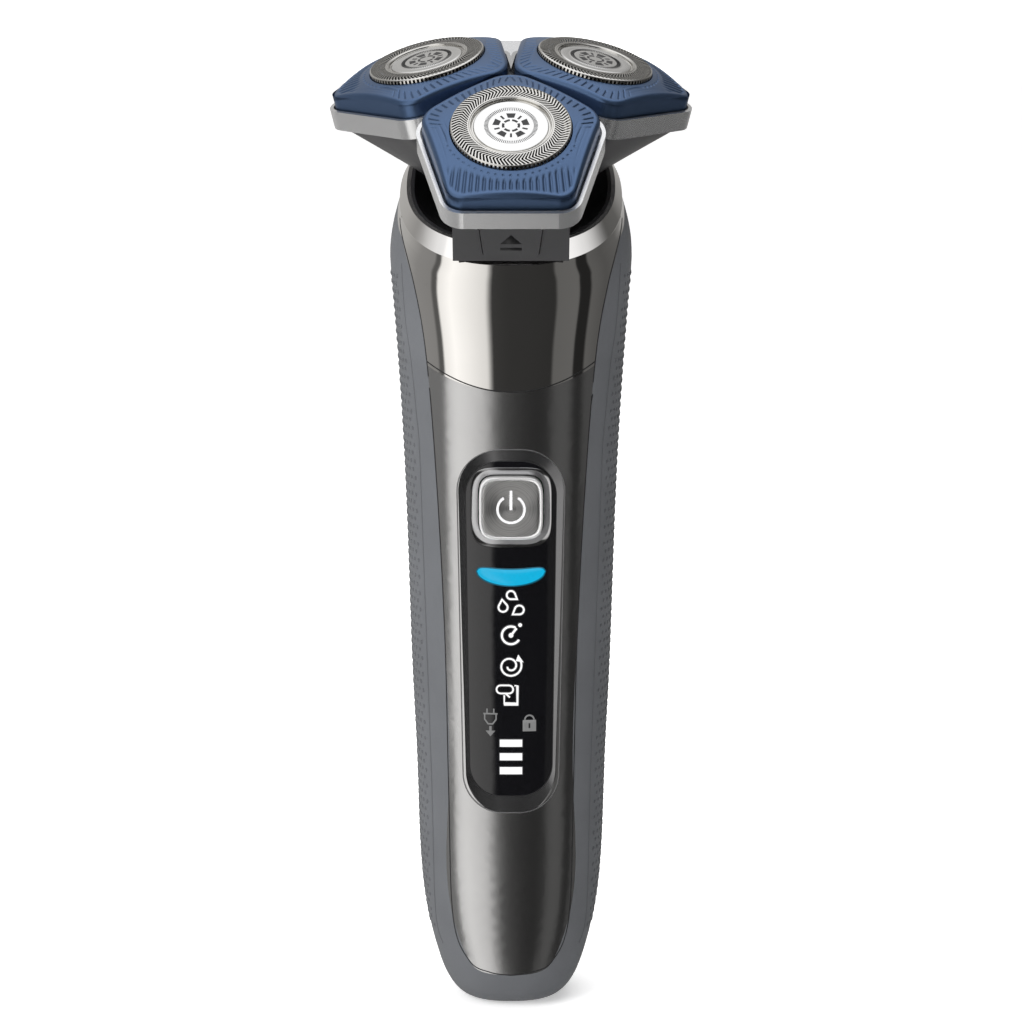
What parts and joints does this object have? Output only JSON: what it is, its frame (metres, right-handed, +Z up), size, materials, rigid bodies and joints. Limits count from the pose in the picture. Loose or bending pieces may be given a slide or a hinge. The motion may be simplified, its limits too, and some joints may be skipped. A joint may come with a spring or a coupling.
{
  "type": "rotary electric shaver",
  "caption": "Cordless rotary shaver: slim upright handle with display and power button, and a lift-off, hinged shaving unit with flexing round cutter heads.",
  "frame": {"origin": "centre of the foot face that the handle stands on", "axes": "+Z up along the handle, the display and the release button face -Y, +X is the right side seen from the front"},
  "size_m": [0.062, 0.0548, 0.1684],
  "materials": {
    "grip_rubber": "matte soft-touch coating",
    "panel_gunmetal": "satin metallic lacquer",
    "collar_chrome": "dark mirror chrome",
    "black_plastic": "fine satin black",
    "display_black": "high gloss black window",
    "button_metal": "spun metal with a polished rim",
    "base_grey": "satin dark grey",
    "trim_silver": "satin silver lacquer",
    "cap_blue": "satin metallic blue",
    "guard_steel": "polished steel",
    "cutter_steel": "ground steel",
    "gear_plastic": "natural acetal",
    "plain_steel": "bright steel",
    "cell_wrap": "shrink wrap",
    "board_green": "solder mask",
    "brass_contact": "plated",
    "lamp_white": "light emitting",
    "chassis_grey": "moulded"
  },
  "bodies": {
    "handle": {"grip_shell": "grip_rubber", "front_panel": "panel_gunmetal", "chrome_collar": "collar_chrome", "display_lens": "display_black", "button_surround": "display_black", "display_tray": "black_plastic", "collar_liner": "black_plastic", "motor_can": "plain_steel", "motor_plate": "plain_steel", "shaft_seal": "grip_rubber", "inner_chassis": "chassis_grey", "battery_cell": "cell_wrap", "battery_contacts": "brass_contact", "circuit_board": "board_green", "power_switch": "black_plastic", "board_screws": "plain_steel", "display_lamps": "lamp_white", "charging_inlet": "black_plastic", "inlet_pins": "brass_contact"},
    "power_button": {"power_button": "button_metal"},
    "motor_drive": {"motor_shaft": "plain_steel", "drive_dog": "gear_plastic"},
    "shaving_base": {"base_housing": "base_grey", "gear_plate": "base_grey", "shaft_bush": "gear_plastic", "hinge_pin": "plain_steel", "neck_seal": "grip_rubber"},
    "sun_gear": {"sun_gear": "gear_plastic"},
    "release_button": {"release_button": "base_grey"},
    "head_frame": {"head_frame": "trim_silver", "centre_hub": "base_grey"},
    "planet_front": {"planet_gear_front": "gear_plastic", "spindle_front": "plain_steel"},
    "holder_front": {"head_cap_front": "cap_blue", "guard_ring_front": "guard_steel", "guard_disc_front": "guard_steel", "retainer_front": "base_grey"},
    "cutter_front": {"cutter_front": "cutter_steel"},
    "planet_right": {"planet_gear_right": "gear_plastic", "spindle_right": "plain_steel"},
    "holder_right": {"head_cap_right": "cap_blue", "guard_ring_right": "guard_steel", "guard_disc_right": "guard_steel", "retainer_right": "base_grey"},
    "cutter_right": {"cutter_right": "cutter_steel"},
    "planet_left": {"planet_gear_left": "gear_plastic", "spindle_left": "plain_steel"},
    "holder_left": {"head_cap_left": "cap_blue", "guard_ring_left": "guard_steel", "guard_disc_left": "guard_steel", "retainer_left": "base_grey"},
    "cutter_left": {"cutter_left": "cutter_steel"}
  },
  "joints": [
    {"name": "power_press", "type": "slide", "parent": "handle", "child": "power_button", "axis": [0, 1, 0], "range_m": [0, 0.0005], "stiffness_N_per_m": 600},
    {"name": "drive_spin", "type": "hinge", "parent": "handle", "child": "motor_drive", "pos_m": [0, 0.00539, 0.13418], "axis": [0, -0.4131, 0.9107], "continuous": true},
    {"name": "unit_pull", "type": "slide", "parent": "handle", "child": "shaving_base", "axis": [0, -0.4131, 0.9107], "range_m": [0, 0.03]},
    {"name": "sun_spin", "type": "hinge", "parent": "shaving_base", "child": "sun_gear", "pos_m": [0, -0.00163, 0.14966], "axis": [0, -0.4131, 0.9107], "continuous": true},
    {"name": "release_press", "type": "slide", "parent": "shaving_base", "child": "release_button", "axis": [0, 0.8403, 0.5421], "range_m": [0, 0.0008], "stiffness_N_per_m": 500},
    {"name": "head_open", "type": "hinge", "parent": "shaving_base", "child": "head_frame", "pos_m": [0, 0.02067, 0.16054], "axis": [-1, 0, 0], "range_deg": [0, 100]},
    {"name": "planet_spin_front", "type": "hinge", "parent": "shaving_base", "child": "planet_front", "pos_m": [0, -0.01584, 0.14322], "axis": [0, -0.4131, 0.9107], "continuous": true},
    {"name": "flex_front", "type": "hinge", "parent": "head_frame", "child": "holder_front", "pos_m": [0, -0.01931, 0.15113], "axis": [1, 0, 0], "range_deg": [-4, 4], "stiffness_Nm_per_rad": 0.05},
    {"name": "cutter_spin_front", "type": "hinge", "parent": "holder_front", "child": "cutter_front", "pos_m": [0, -0.02026, 0.1523], "axis": [0, -0.6293, 0.7771], "continuous": true},
    {"name": "planet_spin_right", "type": "hinge", "parent": "shaving_base", "child": "planet_right", "pos_m": [0.01351, 0.00547, 0.15288], "axis": [0, -0.4131, 0.9107], "continuous": true},
    {"name": "flex_right", "type": "hinge", "parent": "head_frame", "child": "holder_right", "pos_m": [0.01342, 0.00185, 0.16073], "axis": [-0.5, 0.7887, 0.3578], "range_deg": [-4, 4], "stiffness_Nm_per_rad": 0.05},
    {"name": "cutter_spin_right", "type": "hinge", "parent": "holder_right", "child": "cutter_right", "pos_m": [0.01375, 0.00143, 0.16213], "axis": [0.2183, -0.285, 0.9333], "continuous": true},
    {"name": "planet_spin_left", "type": "hinge", "parent": "shaving_base", "child": "planet_left", "pos_m": [-0.01351, 0.00547, 0.15288], "axis": [0, -0.4131, 0.9107], "continuous": true},
    {"name": "flex_left", "type": "hinge", "parent": "head_frame", "child": "holder_left", "pos_m": [-0.01342, 0.00185, 0.16073], "axis": [-0.5, -0.7887, -0.3578], "range_deg": [-4, 4], "stiffness_Nm_per_rad": 0.05},
    {"name": "cutter_spin_left", "type": "hinge", "parent": "holder_left", "child": "cutter_left", "pos_m": [-0.01375, 0.00143, 0.16213], "axis": [-0.2183, -0.285, 0.9333], "continuous": true}
  ],
  "couplings": [
    {"joint": "drive_spin", "follows": "sun_spin", "ratio": 1},
    {"joint": "planet_spin_front", "follows": "sun_spin", "ratio": -1.6},
    {"joint": "cutter_spin_front", "follows": "sun_spin", "ratio": -1.6},
    {"joint": "planet_spin_right", "follows": "sun_spin", "ratio": -1.6},
    {"joint": "cutter_spin_right", "follows": "sun_spin", "ratio": -1.6},
    {"joint": "planet_spin_left", "follows": "sun_spin", "ratio": -1.6},
    {"joint": "cutter_spin_left", "follows": "sun_spin", "ratio": -1.6}
  ]
}
